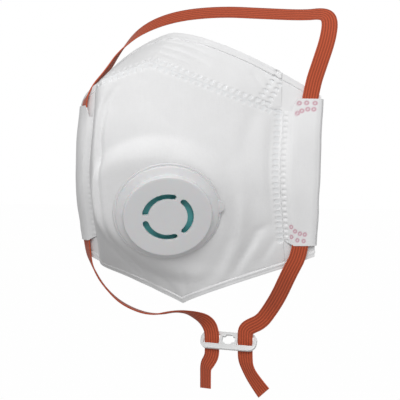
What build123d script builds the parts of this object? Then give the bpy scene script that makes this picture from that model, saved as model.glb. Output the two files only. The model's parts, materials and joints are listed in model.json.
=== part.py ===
from build123d import *
import math
import os

# Disposable dust mask with an exhalation valve, two head straps and an adjuster.
# Millimetres. +X is the wearer's left, -Y points away from the face, +Z is up.
# The origin is the middle of the rim that seals on the face.

os.makedirs("parts", exist_ok=True)

# ---------------------------------------------------------------- mask outline
HALF_WIDTH = 66.8          # outer edge of a side panel
WELD_X = 50.0              # weld line between the front panel and a side panel
NOSE_Y = -21.3             # rim over the nose bridge
NOSE_Z = 69.7
RIM_DROP = 31.2            # fall of the top rim from nose to outer corner
RIM_CURVE = 1.52
RIM_SET_CURVE = 1.6        # how the rim comes back from the nose to the welds
APEX_Y = -51.5             # foremost point of the top seam
APEX_Z = 52.0
SEAM_FALL = 0.44           # fall of the top seam per millimetre sideways
CHIN_Z = -64.3             # lowest point of the hem
HEM_RISE = 24.3            # rise of the hem from chin to outer corner
HEM_CURVE = 0.9
CORNER_SET = 4.0           # how far the outer corners curl back towards the ears
CORNER_Z = 39.0
WELD_DEPTH = -12.5         # side weld, forward of the rim plane at mid height
WELD_CURL = 7.0            # how far the weld comes back at its two ends
WELD_CURL_SPAN = 25.0

# ---------------------------------------------------------------- front panel
FRONT_TURN = 27.0          # degrees that the soft front is turned to the wearer's left
VALVE_X = 4.0              # middle of the valve on the outside of the fabric
VALVE_Y = -40.0
VALVE_Z = -17.1
VALVE_DROP = 26.0          # degrees that the valve looks down
LEFT_SLOPE = 1.61          # steep side of the front, from the weld to the fold
RIGHT_SLOPE = 1.07
UPPER_LEAN = 0.05
CHIN_SIDE_SLOPE = 0.336
CHIN_RISE_SLOPE = 0.60
CHIN_Y = -13.0
ROUNDING = 0.35            # sharpness of the soft folds, per millimetre
FLAT_RADIUS = 28.0         # fabric is pressed flat under the valve to here
BLEND_WIDTH = 9.0

# ---------------------------------------------------------------- fabric plies
COVER = 0.45               # outer nonwoven
FILTER = 0.80              # melt-blown filter medium
LINER = 0.40               # inner nonwoven
PLY_GAP = 0.08
JOIN_GAP = 0.05
TOP_FACTOR = 1.6           # the nose panel leans back, so its plies are set wider in Y

# ---------------------------------------------------------------- side tabs
TAB_TOP = 37.0
TAB_BOTTOM = -34.5
TAB_SHEET = 0.8
TAB_POCKET = 1.9           # room for the strap end between tab and side panel
TAB_INNER_X = 51.0
TAB_STEP_X = 53.2
TAB_STEP_RUN = 1.4
TAB_EDGE = 0.8
TAB_SEAT = 0.3             # foot of the tab above the side panel

# ---------------------------------------------------------------- nose clip
WIRE_HALF = 42.0
WIRE_WIDTH = 5.0
WIRE_THICK = 0.9
WIRE_BELOW_RIM = 3.0
FOAM_HALF = 45.0
FOAM_WIDTH = 11.0
FOAM_THICK = 4.5
FOAM_BELOW_RIM = 1.5
CLIP_GAP = 0.5

# ---------------------------------------------------------------- valve
FLANGE_RADIUS = 25.35
FLANGE_THICK = 0.9
FLANGE_CLEAR = 0.3         # flange rests on the fabric
NECK_RADIUS = 15.2
NECK_WALL = 1.0
FABRIC_HOLE_CLEAR = 0.4
RING_WIDTH = 5.2
RING_THICK = 1.2
RING_CLEAR = 0.3
SEAT_LIP_RADIUS = 13.4
SEAT_LIP_WALL = 0.8
SEAT_LIP_HEIGHT = 0.7
SPOKE_WIDTH = 1.6
HUB_RADIUS = 2.6
PIN_RADIUS = 1.1
PIN_CLEAR = 0.06
PIN_GAP = 0.3              # end of the pin below the housing's roof
DIAPHRAGM_RADIUS = 14.4
DIAPHRAGM_THICK = 0.5
DIAPHRAGM_GAP = 0.05
BOSS_RADIUS = 20.7         # raised round boss of the housing
BOSS_LENGTH = 2.6
BOSS_TOP = 5.9             # height of the boss above the fabric
SHOULDER_RADIUS = 24.3
COVER_WALL = 1.1
SKIRT_HEIGHT = 0.7
MOULD_ROUND = 0.4          # soft edges of the moulded parts
TOUCH = 0.01               # two places nearer than this are the same
SLOT_RADIUS = 10.65        # middle line of the ring of slots
SLOT_WIDTH = 2.9
SLOT_COUNT = 3
BRIDGE_ANGLE = 63.0        # first bridge between two slots
BRIDGE_WIDTH = 2.4
SLOT_FILLET = 1.1
RIB_LENGTH = 4.1
RIB_WIDTH = 2.4
RIB_HEIGHT = 0.9
LUG_RADIUS = 3.2
LUG_CENTRE = 23.7          # middle of the lug from the valve's axis
LUG_ANGLE = 8.0

# ---------------------------------------------------------------- straps
STRAP_WIDTH = 8.0
STRAP_THICK = 0.8
ARC_SHARE = 0.45           # part of a run that the arc at its end may take

# ---------------------------------------------------------------- adjuster
ADJUSTER_X = 16.75
ADJUSTER_Y = 10.0
ADJUSTER_Z = -86.0
ADJUSTER_LENGTH = 30.5
ADJUSTER_HEIGHT = 9.4
ADJUSTER_THICK = 1.6
ADJUSTER_BAR = 1.5
ADJUSTER_CORNER = 4.0
ADJUSTER_LEAN = 35.0       # degrees between the plate and the straps
STRAP_SPACING = 18.2       # between the two straps in the adjuster
STRAP_SIDE_CLEAR = 0.3
WINDOW_LENGTH = 7.0


def smooth_max(values):
    """Largest value, with soft corners where two come near each other."""
    top = max(values)
    return top + math.log(sum(math.exp(ROUNDING * (v - top)) for v in values)) / ROUNDING


def rim_z(x):
    return NOSE_Z - RIM_DROP * (abs(x) / HALF_WIDTH) ** RIM_CURVE


def rim_y(x):
    return NOSE_Y + (WELD_DEPTH + WELD_CURL - NOSE_Y) * (abs(x) / WELD_X) ** RIM_SET_CURVE


def hem_z(x):
    return CHIN_Z + HEM_RISE * (abs(x) / HALF_WIDTH) ** HEM_CURVE


def seam_z(x):
    return APEX_Z - SEAM_FALL * abs(x)


def weld_y(z):
    return WELD_DEPTH + WELD_CURL * (1 - math.exp(-((z / WELD_CURL_SPAN) ** 2)))


def edge_y(z):
    return CORNER_SET * (z / CORNER_Z) ** 2


TURN = math.radians(FRONT_TURN)
DROP = math.radians(VALVE_DROP)
VALVE_NORMAL = (
    math.sin(TURN) * math.cos(DROP),
    -math.cos(TURN) * math.cos(DROP),
    -math.sin(DROP),
)


def valve_plane_y(x, z):
    lean = VALVE_NORMAL[0] * (x - VALVE_X) + VALVE_NORMAL[2] * (z - VALVE_Z)
    return VALVE_Y - lean / VALVE_NORMAL[1]


def front_y(x, z):
    """Outside of the front panel: five soft facets, pressed flat under the valve."""
    left = weld_y(z) - LEFT_SLOPE * (x + WELD_X)
    right = weld_y(z) + RIGHT_SLOPE * (x - WELD_X)
    upper = APEX_Y + math.tan(TURN) * x + UPPER_LEAN * (z - APEX_Z)
    chin = CHIN_Y - CHIN_SIDE_SLOPE * x - CHIN_RISE_SLOPE * (z - CHIN_Z)
    flat = valve_plane_y(x, z)
    soft = smooth_max([left, right, upper, chin, flat])
    across_valve = (x - VALVE_X) / math.cos(TURN)
    along_valve = (z - VALVE_Z) / math.cos(DROP)
    reach = math.hypot(across_valve, along_valve)
    share = min(1.0, max(0.0, (reach - FLAT_RADIUS) / BLEND_WIDTH))
    share = share * share * (3 - 2 * share)
    return flat + share * (soft - flat)


def top_y(x, z):
    """Outside of the nose panel: straight from the top seam to the rim."""
    low, high = seam_z(x), rim_z(x)
    share = (z - low) / (high - low)
    return front_y(x, low) + share * (rim_y(x) - front_y(x, low))


def panel_y(x, z):
    return front_y(x, z) if z <= seam_z(x) else top_y(x, z)


def side_y(x, z):
    """Outside of a side panel: straight from the weld to the outer edge."""
    inner = math.copysign(WELD_X, x)
    inner_z = min(rim_z(inner), max(hem_z(inner), z))
    share = (abs(x) - WELD_X) / (HALF_WIDTH - WELD_X)
    start = panel_y(inner, inner_z)
    return start + share * (edge_y(z) - start)


def slab(surface, x, low, high, front, back, steps):
    """Face of a thin sheet cut at one x, from its front offset to its back offset."""
    heights = [low + (high - low) * i / steps for i in range(steps + 1)]
    outer = [(x, surface(x, z) + front, z) for z in heights]
    inner = [(x, surface(x, z) + back, z) for z in reversed(heights)]
    return Face(Wire.make_polygon(outer + inner, close=True))


def spread(start, end, count):
    return [start + (end - start) * i / count for i in range(count + 1)]


def sheet(surface, stations, low, high, front, back, steps):
    """A sheet that follows a surface through the given x stations."""
    cuts = [slab(surface, x, low(x), high(x), front, back, steps) for x in stations]
    with BuildPart() as made:
        loft(sections=cuts, ruled=True)
    return made.part


# Offsets of each ply behind the outside of the fabric
COVER_BACK = COVER
FILTER_FRONT = COVER_BACK + PLY_GAP
FILTER_BACK = FILTER_FRONT + FILTER
LINER_FRONT = FILTER_BACK + PLY_GAP
LINER_BACK = LINER_FRONT + LINER

FRONT_CUTS = 16
NOSE_CUTS = 12
SIDE_CUTS = 2
FRONT_STATIONS = spread(-WELD_X + JOIN_GAP, WELD_X - JOIN_GAP, FRONT_CUTS)
FRONT_STEPS = 12
TOP_STEPS = 2

# Frame of the valve: its own z looks out of the mask along the valve's axis
valve_frame = Plane(
    origin=(VALVE_X, VALVE_Y, VALVE_Z),
    x_dir=(math.cos(TURN), math.sin(TURN), 0),
    z_dir=VALVE_NORMAL,
)
FABRIC_HOLE = NECK_RADIUS + FABRIC_HOLE_CLEAR
HOLE_REACH = 12.0


def front_ply(front, back):
    """One ply of the front panel with the round hole for the valve's neck."""
    with BuildPart() as made:
        add(sheet(front_y, FRONT_STATIONS, hem_z, seam_z, front, back, FRONT_STEPS))
        with BuildSketch(valve_frame):
            Circle(FABRIC_HOLE)
        extrude(amount=HOLE_REACH, both=True, mode=Mode.SUBTRACT)
    return made.part


def top_ply(front, back):
    """One ply of the nose panel, set off from the front panel by the seam."""
    def low(x):
        return seam_z(x) + JOIN_GAP
    return sheet(top_y, FRONT_STATIONS, low, rim_z, front * TOP_FACTOR, back * TOP_FACTOR, TOP_STEPS)


# ---------------------------------------------------------------- front panel
with BuildPart() as front_cover:
    add(front_ply(0.0, COVER_BACK))

with BuildPart() as front_filter:
    add(front_ply(FILTER_FRONT, FILTER_BACK))

with BuildPart() as front_liner:
    add(front_ply(LINER_FRONT, LINER_BACK))

# ---------------------------------------------------------------- nose panel
with BuildPart() as top_cover:
    add(top_ply(0.0, COVER_BACK))

with BuildPart() as top_filter:
    add(top_ply(FILTER_FRONT, FILTER_BACK))

with BuildPart() as top_liner:
    add(top_ply(LINER_FRONT, LINER_BACK))

# ---------------------------------------------------------------- side panels
SIDE_STEPS = 8


def side_stations(side):
    return sorted(side * x for x in spread(WELD_X + JOIN_GAP, HALF_WIDTH, SIDE_CUTS))


with BuildPart() as left_side_panel:
    add(sheet(side_y, side_stations(-1), hem_z, rim_z, 0.0, LINER_BACK, SIDE_STEPS))

with BuildPart() as right_side_panel:
    add(sheet(side_y, side_stations(1), hem_z, rim_z, 0.0, LINER_BACK, SIDE_STEPS))

# ---------------------------------------------------------------- side tabs
POCKET_FRONT = -TAB_POCKET - TAB_SHEET
FOLD_X = HALF_WIDTH + JOIN_GAP


def edge_surface(x, z):
    return edge_y(z)


def tab_profile(side):
    """Stations of the tab: welded foot, step up over the strap, and the outer edge."""
    foot = (-TAB_SEAT - TAB_SHEET, -TAB_SEAT)
    raised = (POCKET_FRONT, -TAB_POCKET)
    return [
        (side * TAB_INNER_X, side_y, *foot),
        (side * TAB_STEP_X, side_y, *foot),
        (side * (TAB_STEP_X + TAB_STEP_RUN), side_y, *raised),
        (side * HALF_WIDTH, side_y, *raised),
        (side * FOLD_X, edge_surface, *raised),
    ]


def side_tab(side):
    """Folded tab over a side panel, open at its top and bottom for the strap ends."""
    profile = sorted(tab_profile(side), key=lambda station: station[0])
    outer = sorted([side * FOLD_X, side * (FOLD_X + TAB_EDGE)])
    layer = [
        slab(surface, x, TAB_BOTTOM, TAB_TOP, front, back, SIDE_STEPS)
        for x, surface, front, back in profile
    ]
    fold = [
        slab(edge_surface, x, TAB_BOTTOM, TAB_TOP, POCKET_FRONT, LINER_BACK, SIDE_STEPS)
        for x in outer
    ]
    with BuildPart() as made:
        loft(sections=layer, ruled=True)
        loft(sections=fold, ruled=True)
    return made.part


with BuildPart() as left_tab:
    add(side_tab(-1))

with BuildPart() as right_tab:
    add(side_tab(1))

# ---------------------------------------------------------------- nose clip
WIRE_FRONT = LINER_BACK * TOP_FACTOR + CLIP_GAP
WIRE_BACK = WIRE_FRONT + WIRE_THICK
FOAM_FRONT = WIRE_BACK + CLIP_GAP
FOAM_BACK = FOAM_FRONT + FOAM_THICK


def nose_strip(half, top_gap, width, front, back):
    """A strip that follows the rim over the nose, on the face side of the liner."""
    def high(x):
        return rim_z(x) - top_gap

    def low(x):
        return rim_z(x) - top_gap - width
    return sheet(top_y, spread(-half, half, NOSE_CUTS), low, high, front, back, TOP_STEPS)


with BuildPart() as nose_wire:
    add(nose_strip(WIRE_HALF, WIRE_BELOW_RIM, WIRE_WIDTH, WIRE_FRONT, WIRE_BACK))

with BuildPart() as nose_foam:
    add(nose_strip(FOAM_HALF, FOAM_BELOW_RIM, FOAM_WIDTH, FOAM_FRONT, FOAM_BACK))

# ---------------------------------------------------------------- valve
# Heights below are along the valve's axis, from the outside of the fabric.
FABRIC_DEPTH = LINER_BACK * math.cos(TURN) * math.cos(DROP)
FLANGE_BASE = FLANGE_CLEAR
FLANGE_TOP = FLANGE_BASE + FLANGE_THICK
RING_TOP = -FABRIC_DEPTH - RING_CLEAR
RING_BASE = RING_TOP - RING_THICK
LIP_TOP = FLANGE_TOP + SEAT_LIP_HEIGHT
FLAP_BASE = LIP_TOP + DIAPHRAGM_GAP
ROOF_BASE = BOSS_TOP - COVER_WALL
PIN_TOP = ROOF_BASE - PIN_GAP
HOUSING_BASE = FLANGE_TOP + JOIN_GAP

with BuildPart() as valve_seat:
    with BuildSketch(valve_frame.offset(FLANGE_BASE)):
        Circle(FLANGE_RADIUS)
        Circle(NECK_RADIUS - NECK_WALL, mode=Mode.SUBTRACT)
    extrude(amount=FLANGE_THICK)
    with BuildSketch(valve_frame.offset(RING_BASE)):
        Circle(NECK_RADIUS)
        Circle(NECK_RADIUS - NECK_WALL, mode=Mode.SUBTRACT)
    extrude(amount=FLANGE_TOP - RING_BASE)
    with BuildSketch(valve_frame.offset(FLANGE_BASE)):
        Circle(NECK_RADIUS)
        Circle(SEAT_LIP_RADIUS - SEAT_LIP_WALL, mode=Mode.SUBTRACT)
    extrude(amount=FLANGE_THICK)
    with BuildSketch(valve_frame.offset(FLANGE_TOP)):
        Circle(SEAT_LIP_RADIUS)
        Circle(SEAT_LIP_RADIUS - SEAT_LIP_WALL, mode=Mode.SUBTRACT)
    extrude(amount=SEAT_LIP_HEIGHT)
    with BuildSketch(valve_frame.offset(FLANGE_BASE)):
        Rectangle(2 * SEAT_LIP_RADIUS, SPOKE_WIDTH)
        Rectangle(SPOKE_WIDTH, 2 * SEAT_LIP_RADIUS)
        Circle(HUB_RADIUS)
    extrude(amount=FLANGE_THICK)
    with BuildSketch(valve_frame.offset(FLANGE_BASE)):
        Circle(PIN_RADIUS)
    extrude(amount=PIN_TOP - FLANGE_BASE)
    rims = valve_seat.edges().filter_by(GeomType.CIRCLE)
    fillet([rim for rim in rims if abs(rim.radius - FLANGE_RADIUS) < TOUCH], MOULD_ROUND)

with BuildPart() as valve_ring:
    with BuildSketch(valve_frame.offset(RING_BASE)):
        Circle(NECK_RADIUS + RING_WIDTH)
        Circle(NECK_RADIUS + JOIN_GAP, mode=Mode.SUBTRACT)
    extrude(amount=RING_THICK)

with BuildPart() as valve_diaphragm:
    with BuildSketch(valve_frame.offset(FLAP_BASE)):
        Circle(DIAPHRAGM_RADIUS)
        Circle(PIN_RADIUS + PIN_CLEAR, mode=Mode.SUBTRACT)
    extrude(amount=DIAPHRAGM_THICK)

# The housing is turned about the valve's axis from a profile of radius and height.
profile_frame = Plane(origin=valve_frame.origin, x_dir=valve_frame.x_dir, z_dir=-valve_frame.y_dir)
SHOULDER_TOP = BOSS_TOP - BOSS_LENGTH
SKIRT_TOP = HOUSING_BASE + SKIRT_HEIGHT

with BuildPart() as valve_cover:
    with BuildSketch(profile_frame):
        with BuildLine():
            Polyline(
                (0, BOSS_TOP),
                (BOSS_RADIUS, BOSS_TOP),
                (BOSS_RADIUS, SHOULDER_TOP),
                (SHOULDER_RADIUS, SKIRT_TOP),
                (SHOULDER_RADIUS, HOUSING_BASE),
                (SHOULDER_RADIUS - COVER_WALL, HOUSING_BASE),
                (SHOULDER_RADIUS - COVER_WALL, SKIRT_TOP - COVER_WALL / 2),
                (BOSS_RADIUS - COVER_WALL, SHOULDER_TOP - COVER_WALL / 2),
                (BOSS_RADIUS - COVER_WALL, ROOF_BASE),
                (0, ROOF_BASE),
                close=True,
            )
        make_face()
        soft_corners = [(BOSS_RADIUS, BOSS_TOP), (BOSS_RADIUS, SHOULDER_TOP), (SHOULDER_RADIUS, SKIRT_TOP)]
        corners = [profile_frame.from_local_coords(Vector(*corner, 0)) for corner in soft_corners]
        picked = [v for v in vertices() if min((v.center() - c).length for c in corners) < TOUCH]
        fillet(picked, MOULD_ROUND)
    revolve(axis=Axis(valve_frame.origin, valve_frame.z_dir))
    with BuildSketch(valve_frame.offset(ROOF_BASE)):
        with PolarLocations(SLOT_RADIUS, SLOT_COUNT, start_angle=BRIDGE_ANGLE):
            Rectangle(RIB_LENGTH, RIB_WIDTH)
    extrude(amount=-RIB_HEIGHT)
    with BuildSketch(valve_frame.offset(ROOF_BASE)):
        Circle(SLOT_RADIUS + SLOT_WIDTH / 2)
        Circle(SLOT_RADIUS - SLOT_WIDTH / 2, mode=Mode.SUBTRACT)
        with PolarLocations(SLOT_RADIUS, SLOT_COUNT, start_angle=BRIDGE_ANGLE):
            Rectangle(2 * SLOT_WIDTH, BRIDGE_WIDTH, mode=Mode.SUBTRACT)
        fillet(vertices(), SLOT_FILLET)
    extrude(amount=COVER_WALL, mode=Mode.SUBTRACT)
    with BuildSketch(valve_frame.offset(HOUSING_BASE)):
        with PolarLocations(LUG_CENTRE, 1, start_angle=LUG_ANGLE):
            Circle(LUG_RADIUS)
        Circle(SHOULDER_RADIUS - COVER_WALL / 2, mode=Mode.SUBTRACT)
    extrude(amount=SKIRT_TOP - HOUSING_BASE)

# ---------------------------------------------------------------- straps
# A route is a list of points chosen by hand, each with the way the band's flat side looks,
# in degrees from straight ahead towards +X.
UPPER_ROUTE = [
    (59.6, -3.1, 27.0, 30),
    (60.8, -0.8, 43.0, 32),
    (65.3, 2.4, 55.5, 30),
    (69.3, 6.5, 67.0, 26),
    (71.8, 10.5, 80.2, 24),
    (58.5, 13.5, 84.8, 20),
    (35.0, 16.0, 84.2, 16),
    (9.0, 18.5, 85.6, 14),
    (-17.0, 18.5, 89.0, 10),
    (-35.5, 15.5, 82.3, -6),
    (-46.0, 11.0, 68.0, -24),
    (-54.2, 3.2, 54.5, -36),
    (-60.8, -1.0, 43.5, -32),
    (-59.6, -3.1, 27.0, -30),
]
LOWER_LEFT_ROUTE = [
    (-59.4, -3.6, -24.0, -30),
    (-58.6, -1.4, -41.0, -30),
    (-57.0, 1.6, -51.0, -40),
    (-52.0, 4.4, -61.5, -46),
    (-42.0, 6.6, -70.5, -44),
    (-26.0, 8.4, -75.4, -30),
    (-11.0, 9.4, -71.6, -8),
    (1.5, 9.8, -71.4, -2),
    (7.65, 10.0, -77.6, 0),
    (7.65, 10.0, -96.0, 0),
    (4.6, 10.6, -103.5, 6),
    (5.2, 9.6, -111.5, 12),
]
LOWER_RIGHT_ROUTE = [
    (59.4, -3.2, -24.0, 28),
    (58.0, -1.2, -37.5, 26),
    (52.2, -0.8, -48.0, 24),
    (44.6, 4.6, -60.5, 22),
    (36.0, 9.0, -69.4, 14),
    (25.85, 10.0, -77.0, 0),
    (25.85, 10.0, -96.0, 0),
    (29.6, 10.4, -104.0, 6),
    (36.0, 9.6, -111.0, 12),
]


def bend_radii(route):
    """Largest arc that each corner's two runs allow."""
    points = [Vector(*stop[:3]) for stop in route]
    radii = []
    for before, corner, after in zip(points, points[1:], points[2:]):
        turn = math.radians((corner - before).get_angle(after - corner))
        shorter = min((corner - before).length, (after - corner).length)
        radii.append(ARC_SHARE * shorter / math.tan(turn / 2))
    return radii


def band_section(place, way, facing):
    """Face of the band square to its travel, with its flat side turned to facing."""
    facing = math.radians(facing)
    flat = Vector(math.sin(facing), -math.cos(facing), 0)
    width = way.cross(flat).normalized()
    return Plane(origin=place, x_dir=width, z_dir=way)


def band(route):
    """Flat strap along straight runs joined by tangent arcs, turning on its runs."""
    with BuildLine():
        path = FilletPolyline(*[stop[:3] for stop in route], radius=bend_radii(route))
    places = []
    for index, edge in enumerate(path.order_edges()):
        here = route[index // 2][3]
        if index % 2:
            here = route[index // 2 + 1][3]
            steps = [0.25, 0.5, 0.75]
        else:
            steps = [0.0, 1.0]
        there = route[index // 2 + 1][3]
        for step in steps:
            facing = here + (there - here) * step
            places.append((edge @ step, edge % step, facing))
    with BuildPart() as made:
        for place, way, facing in places:
            with BuildSketch(band_section(place, way, facing)):
                Rectangle(STRAP_WIDTH, STRAP_THICK)
        loft(ruled=True)
    length = path.length
    share = made.part.volume / (STRAP_WIDTH * STRAP_THICK * length)
    print("strap length", round(length, 1), "volume share", round(share, 4))
    return made.part


with BuildPart() as upper_strap:
    add(band(UPPER_ROUTE))

with BuildPart() as lower_strap_left:
    add(band(LOWER_LEFT_ROUTE))

with BuildPart() as lower_strap_right:
    add(band(LOWER_RIGHT_ROUTE))

# ---------------------------------------------------------------- adjuster
adjuster_turned = Plane(
    origin=(ADJUSTER_X, ADJUSTER_Y, ADJUSTER_Z),
    x_dir=(1, 0, 0),
    z_dir=(0, -math.cos(math.radians(ADJUSTER_LEAN)), math.sin(math.radians(ADJUSTER_LEAN))),
)
SLOT_LENGTH = STRAP_WIDTH + 2 * STRAP_SIDE_CLEAR
SLOT_HEIGHT = ADJUSTER_HEIGHT - 2 * ADJUSTER_BAR

with BuildPart() as strap_adjuster:
    with BuildSketch(adjuster_turned.offset(-ADJUSTER_THICK / 2)):
        RectangleRounded(ADJUSTER_LENGTH, ADJUSTER_HEIGHT, ADJUSTER_CORNER)
        with Locations((-STRAP_SPACING / 2, 0), (STRAP_SPACING / 2, 0)):
            Rectangle(SLOT_LENGTH, SLOT_HEIGHT, mode=Mode.SUBTRACT)
        Rectangle(WINDOW_LENGTH, SLOT_HEIGHT, mode=Mode.SUBTRACT)
    extrude(amount=ADJUSTER_THICK)
    across_plate = Axis(adjuster_turned.origin, adjuster_turned.z_dir)
    flats = strap_adjuster.faces().filter_by(GeomType.PLANE).sort_by(across_plate)
    fillet([edge for face in (flats[0], flats[-1]) for edge in face.outer_wire().edges()], MOULD_ROUND)

PIECES = {
    "front_cover": front_cover,
    "front_filter": front_filter,
    "front_liner": front_liner,
    "top_cover": top_cover,
    "top_filter": top_filter,
    "top_liner": top_liner,
    "left_side_panel": left_side_panel,
    "right_side_panel": right_side_panel,
    "left_tab": left_tab,
    "right_tab": right_tab,
    "nose_wire": nose_wire,
    "nose_foam": nose_foam,
    "valve_seat": valve_seat,
    "valve_ring": valve_ring,
    "valve_diaphragm": valve_diaphragm,
    "valve_cover": valve_cover,
    "upper_strap": upper_strap,
    "lower_strap_left": lower_strap_left,
    "lower_strap_right": lower_strap_right,
    "strap_adjuster": strap_adjuster,
}
for name, piece in PIECES.items():
    piece.part.label = name
    export_step(piece.part, f"parts/{name}.step")
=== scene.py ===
import json
import math

import bmesh
import bpy
from mathutils import Matrix, Vector, noise

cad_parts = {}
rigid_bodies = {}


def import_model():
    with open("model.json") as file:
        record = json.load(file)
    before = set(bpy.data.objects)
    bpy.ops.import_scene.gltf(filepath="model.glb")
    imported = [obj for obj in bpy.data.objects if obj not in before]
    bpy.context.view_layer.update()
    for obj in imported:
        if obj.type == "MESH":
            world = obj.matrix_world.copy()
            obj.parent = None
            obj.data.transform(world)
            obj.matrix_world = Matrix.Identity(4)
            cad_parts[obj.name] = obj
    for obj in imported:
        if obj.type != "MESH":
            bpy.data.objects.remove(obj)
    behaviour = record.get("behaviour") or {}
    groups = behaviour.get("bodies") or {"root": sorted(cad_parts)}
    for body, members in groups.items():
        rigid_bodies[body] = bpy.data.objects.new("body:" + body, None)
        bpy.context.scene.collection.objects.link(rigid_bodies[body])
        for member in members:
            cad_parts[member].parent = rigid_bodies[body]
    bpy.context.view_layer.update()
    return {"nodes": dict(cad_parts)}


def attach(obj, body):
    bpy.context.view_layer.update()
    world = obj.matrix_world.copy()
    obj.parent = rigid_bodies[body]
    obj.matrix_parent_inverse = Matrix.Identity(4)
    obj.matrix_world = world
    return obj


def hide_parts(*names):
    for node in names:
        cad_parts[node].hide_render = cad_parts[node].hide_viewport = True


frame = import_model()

bl_info = {
    "name": "Dust Mask",
    "version": (1, 0, 0),
    "blender": (4, 5, 0),
    "location": "View3D > Sidebar > Dust Mask",
    "description": "Builds a welded dust mask with an exhalation valve and elastic straps",
    "category": "Object",
}

MM = 0.001

# ------------------------------------------------------------------ mask form, in millimetres
HALF_WIDTH = 66.8
WELD_X = 50.0
NOSE_Y = -21.3
NOSE_Z = 69.7
RIM_DROP = 31.2
RIM_CURVE = 1.52
RIM_SET_CURVE = 1.6
APEX_Y = -51.5
APEX_Z = 52.0
SEAM_FALL = 0.44
CHIN_Y = -13.0
CHIN_Z = -64.3
HEM_RISE = 24.3
HEM_CURVE = 0.9
CORNER_SET = 4.0
CORNER_Z = 39.0
WELD_DEPTH = -12.5
WELD_CURL = 7.0
WELD_CURL_SPAN = 25.0
FRONT_TURN = math.radians(27.0)
VALVE_DROP = math.radians(26.0)
VALVE = Vector((4.0, -40.0, -17.1))
LEFT_SLOPE = 2.05
RIGHT_SLOPE = 1.07
UPPER_LEAN = 0.10
CHIN_SIDE_SLOPE = 0.336
CHIN_RISE_SLOPE = 0.60
CHIN_TURN = 0.85
ROUNDING = 0.2
VALVE_SHARPNESS = 6.0
FLAT_RADIUS = 25.0
BLEND_WIDTH = 17.0
LEFT_SWELL = 2.6
TOP_FACTOR = 1.6
JOIN_GAP = 0.05
FABRIC_HOLE = 15.6
AXIS = Vector((
    math.sin(FRONT_TURN) * math.cos(VALVE_DROP),
    -math.cos(FRONT_TURN) * math.cos(VALVE_DROP),
    -math.sin(VALVE_DROP),
))

# How far the outer edge is drawn in at a height, for each side: (height, distance)
EDGE_IN = {
    -1: [(-45.0, 3.2), (-37.0, 2.7), (-27.0, 1.8), (-15.0, 0.9), (0.0, 0.4), (15.0, 0.3), (35.0, 0.4),
         (45.0, 0.6)],
    1: [(-45.0, 3.4), (-37.0, 3.0), (-15.0, 1.2), (0.0, 0.4), (15.0, 0.0), (35.0, -0.3), (45.0, -0.3)],
}
SIDE_THICKNESS = 1.8
# How far the inner plies sit behind the outer one
FILTER_BEHIND = 0.53
LINER_BEHIND = 1.41
NOSE_FILTER_BEHIND = 0.85
NOSE_LINER_BEHIND = 2.26
# Nose wire and foam: half length, gap to the rim, width, distance behind the outer ply, thickness
WIRE_SIZES = (42.0, 3.0, 5.0, 3.4, 0.9)
FOAM_SIZES = (45.0, 1.5, 11.0, 4.8, 4.5)
FOAM_ROUNDING = 1.2

# ------------------------------------------------------------------ tabs, in millimetres
TAB_TOP = 37.0
TAB_TOP_LOW = 30.8
TAB_BOTTOM = -34.5
# Section of a tab, from its foot round the outer edge: (distance from the middle, offset).
# The second one is for the left tab, which is rounder.
TAB_PROFILE = [
    (51.0, -1.0), (52.1, -1.05), (53.1, -1.15), (54.0, -1.6), (55.0, -2.2), (56.2, -2.6), (58.0, -2.8),
    (65.4, -2.8), (66.5, -2.5), (67.2, -1.9), (67.55, -1.1), (67.65, -0.2), (67.65, 0.9),
]
SOFT_TAB_PROFILE = [
    (51.0, -1.0), (52.4, -1.15), (53.4, -1.6), (54.4, -2.3), (55.6, -2.8), (58.0, -3.05), (61.0, -3.1),
    (64.0, -2.9), (65.8, -2.3), (66.9, -1.3), (67.4, -0.2), (67.55, 1.0),
]
TAB_FOOT_END = 53.6
TAB_STEP = 0.36
# Rings where the strap is tacked under the tab: (distance from the middle, height)
TACK_RINGS = [
    (61.1, 34.9), (64.7, 34.8), (58.0, 34.7), (59.2, 31.0), (61.7, 31.8), (64.3, 31.8), (57.4, 29.8),
    (55.1, -25.2), (57.1, -27.3), (59.6, -28.5), (62.1, -28.9), (55.1, -30.1), (58.3, -31.7),
    (61.6, -32.1),
]
RING_RADIUS = 0.75
RING_WIDTH = 0.38

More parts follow.
